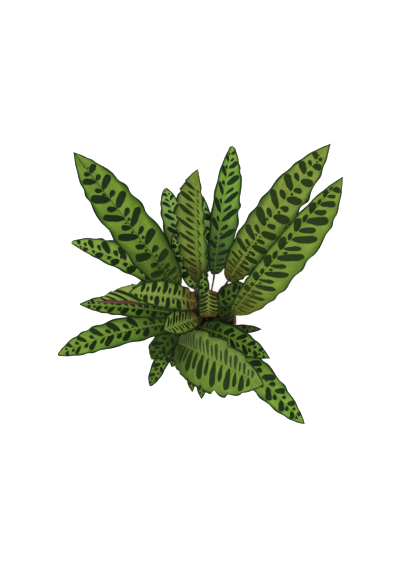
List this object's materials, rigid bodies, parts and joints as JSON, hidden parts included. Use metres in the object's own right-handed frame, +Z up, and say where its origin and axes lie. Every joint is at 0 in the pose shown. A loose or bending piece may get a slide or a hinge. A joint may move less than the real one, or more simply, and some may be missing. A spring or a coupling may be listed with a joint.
{
  "type": "potted calathea",
  "caption": "Houseplant in a round nursery pot: a rosette of long, wavy, lance-shaped leaves with dark oval blotches and maroon undersides, each on a thin dark stalk out of the soil.",
  "frame": {"origin": "centre of the pot's underside, on the surface that the pot stands on", "axes": "+Z up along the pot's axis; +Y away from the front of the plant, the way its largest leaves reach; +X to the right seen from the front"},
  "size_m": [0.4888, 0.4425, 0.3609],
  "materials": {
    "terracotta_plastic": "satin",
    "potting_soil": "matte",
    "leaf_green": "satin",
    "leaf_olive": "satin",
    "dark_stalk": "satin"
  },
  "bodies": {
    "root": {"pot": "terracotta_plastic", "soil": "potting_soil", "blade_back_left": "leaf_green", "blade_low_back_left": "leaf_green", "blade_slim_back_left": "leaf_green", "blade_short_back_left": "leaf_green", "blade_back": "leaf_olive", "blade_hidden_back": "leaf_green", "blade_slim_back": "leaf_green", "blade_back_right": "leaf_olive", "blade_right": "leaf_green", "blade_short_right": "leaf_green", "blade_low_right": "leaf_green", "blade_tiny_right": "leaf_green", "blade_front_right": "leaf_green", "blade_front": "leaf_green", "blade_long_right": "leaf_green", "blade_left": "leaf_olive", "blade_folded_left": "leaf_olive", "blade_spotted_left": "leaf_green", "blade_long_left": "leaf_green", "blade_short_front_left": "leaf_olive", "blade_upright": "leaf_olive", "blade_small_low_left": "leaf_green", "blade_narrow_low_left": "leaf_green", "blade_tiny_low_left": "leaf_green", "blade_low_front_left": "leaf_green", "blade_low_front": "leaf_green", "blade_short_back": "leaf_green", "stalk_back_left": "dark_stalk", "stalk_low_back_left": "dark_stalk", "stalk_slim_back_left": "dark_stalk", "stalk_short_back_left": "dark_stalk", "stalk_back": "dark_stalk", "stalk_hidden_back": "dark_stalk", "stalk_slim_back": "dark_stalk", "stalk_back_right": "dark_stalk", "stalk_right": "dark_stalk", "stalk_short_right": "dark_stalk", "stalk_low_right": "dark_stalk", "stalk_tiny_right": "dark_stalk", "stalk_front_right": "dark_stalk", "stalk_front": "dark_stalk", "stalk_long_right": "dark_stalk", "stalk_left": "dark_stalk", "stalk_folded_left": "dark_stalk", "stalk_spotted_left": "dark_stalk", "stalk_long_left": "dark_stalk", "stalk_short_front_left": "dark_stalk", "stalk_upright": "dark_stalk", "stalk_small_low_left": "dark_stalk", "stalk_narrow_low_left": "dark_stalk", "stalk_tiny_low_left": "dark_stalk", "stalk_low_front_left": "dark_stalk", "stalk_low_front": "dark_stalk", "stalk_short_back": "dark_stalk"}
  },
  "joints": []
}
